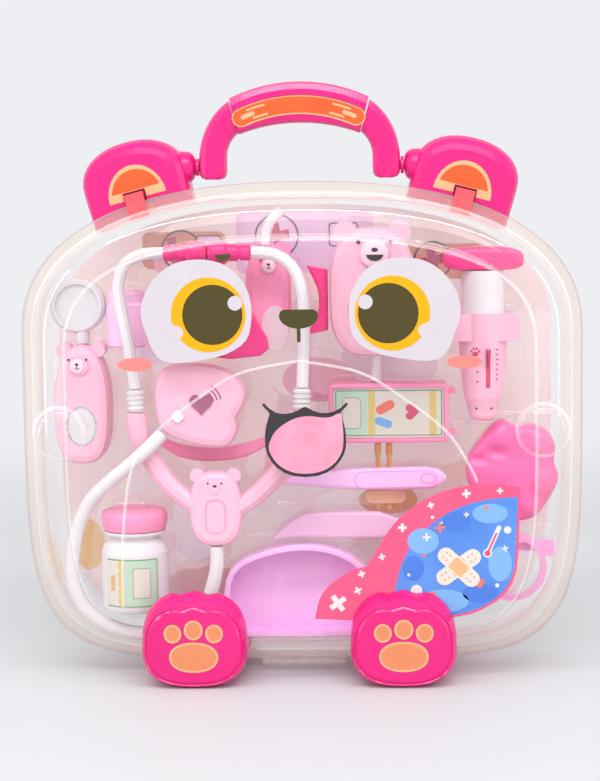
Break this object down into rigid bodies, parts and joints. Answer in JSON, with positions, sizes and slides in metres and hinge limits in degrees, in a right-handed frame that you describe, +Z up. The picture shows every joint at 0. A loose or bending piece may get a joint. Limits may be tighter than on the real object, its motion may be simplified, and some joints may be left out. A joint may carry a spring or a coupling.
{
  "type": "toy doctor case",
  "caption": "Clear hinged toy doctor case shaped like an animal face, with ears, paw feet, a swinging handle and a tray of toy medical tools.",
  "frame": {"origin": "centre of the footprint on the resting plane under the paw feet", "axes": "+X to the viewer's right, -Y towards the viewer, +Z up"},
  "size_m": [0.291, 0.096, 0.3084],
  "materials": {
    "clear": "clear moulded plastic, polished",
    "hot_pink": "satin gloss",
    "steel": "satin",
    "card": "printed, matt",
    "orange_label": "printed film, satin",
    "face_label": "printed film, satin",
    "corner_print": "printed film, satin",
    "salmon": "satin gloss",
    "light_pink": "satin gloss",
    "mid_pink": "satin gloss",
    "white": "satin gloss",
    "cap_pink": "gloss",
    "lilac": "satin gloss",
    "peach": "matt"
  },
  "bodies": {
    "case": {"back_shell": "clear", "insert_tray": "clear", "tray_cups": "clear", "ear_left": "hot_pink", "ear_right": "hot_pink", "handle_pivots": "hot_pink", "foot_rear_left": "hot_pink", "foot_rear_right": "hot_pink", "cuff_band": "hot_pink", "steth_tips": "hot_pink", "mask": "hot_pink", "hammer": "hot_pink", "hinge_pin": "steel", "back_card": "card", "chart_card": "card", "ear_labels": "orange_label", "bottle_label": "corner_print", "latch_catches": "salmon", "steth_yoke": "light_pink", "chest_piece": "light_pink", "syringe_barrel": "light_pink", "mirror_bear": "light_pink", "chart_frame": "light_pink", "crescent_dish": "light_pink", "chest_heart": "mid_pink", "gauge_bear": "mid_pink", "bulb_bear": "mid_pink", "glasses_frame": "mid_pink", "glasses_temples": "mid_pink", "steth_sleeves": "white", "steth_headset_left": "white", "steth_headset_right": "white", "steth_tube": "white", "steth_hose": "white", "bottle_body": "white", "gauge_hose": "white", "mirror_disc": "white", "swabs": "white", "dish": "lilac", "torch": "lilac", "tweezers": "lilac", "scalpel": "lilac", "plaster": "peach"},
    "lid": {"front_shell": "clear", "foot_front_left": "hot_pink", "foot_front_right": "hot_pink", "paw_labels": "orange_label", "eye_label_left": "face_label", "eye_label_right": "face_label", "nose_label": "face_label", "mouth_label": "face_label", "cheek_labels": "face_label", "corner_label": "corner_print"},
    "handle": {"handle_legs": "hot_pink", "handle_grip": "hot_pink", "handle_label": "orange_label"},
    "plunger": {"syringe_plunger": "white", "syringe_cap": "hot_pink"},
    "cap": {"bottle_cap": "cap_pink"}
  },
  "joints": [
    {"name": "lid_open", "type": "hinge", "parent": "case", "child": "lid", "pos_m": [0, -0.008, 0.0045], "axis": [1, 0, 0], "range_deg": [0, 100]},
    {"name": "handle_swing", "type": "hinge", "parent": "case", "child": "handle", "pos_m": [0, 0.006, 0.265], "axis": [1, 0, 0], "range_deg": [-75, 75]},
    {"name": "plunger_push", "type": "slide", "parent": "case", "child": "plunger", "axis": [0, 0, -1], "range_m": [0, 0.017]},
    {"name": "cap_turn", "type": "hinge", "parent": "case", "child": "cap", "pos_m": [-0.0885, -0.0098, 0.08], "axis": [0, 0, 1], "range_deg": [0, 300]}
  ]
}
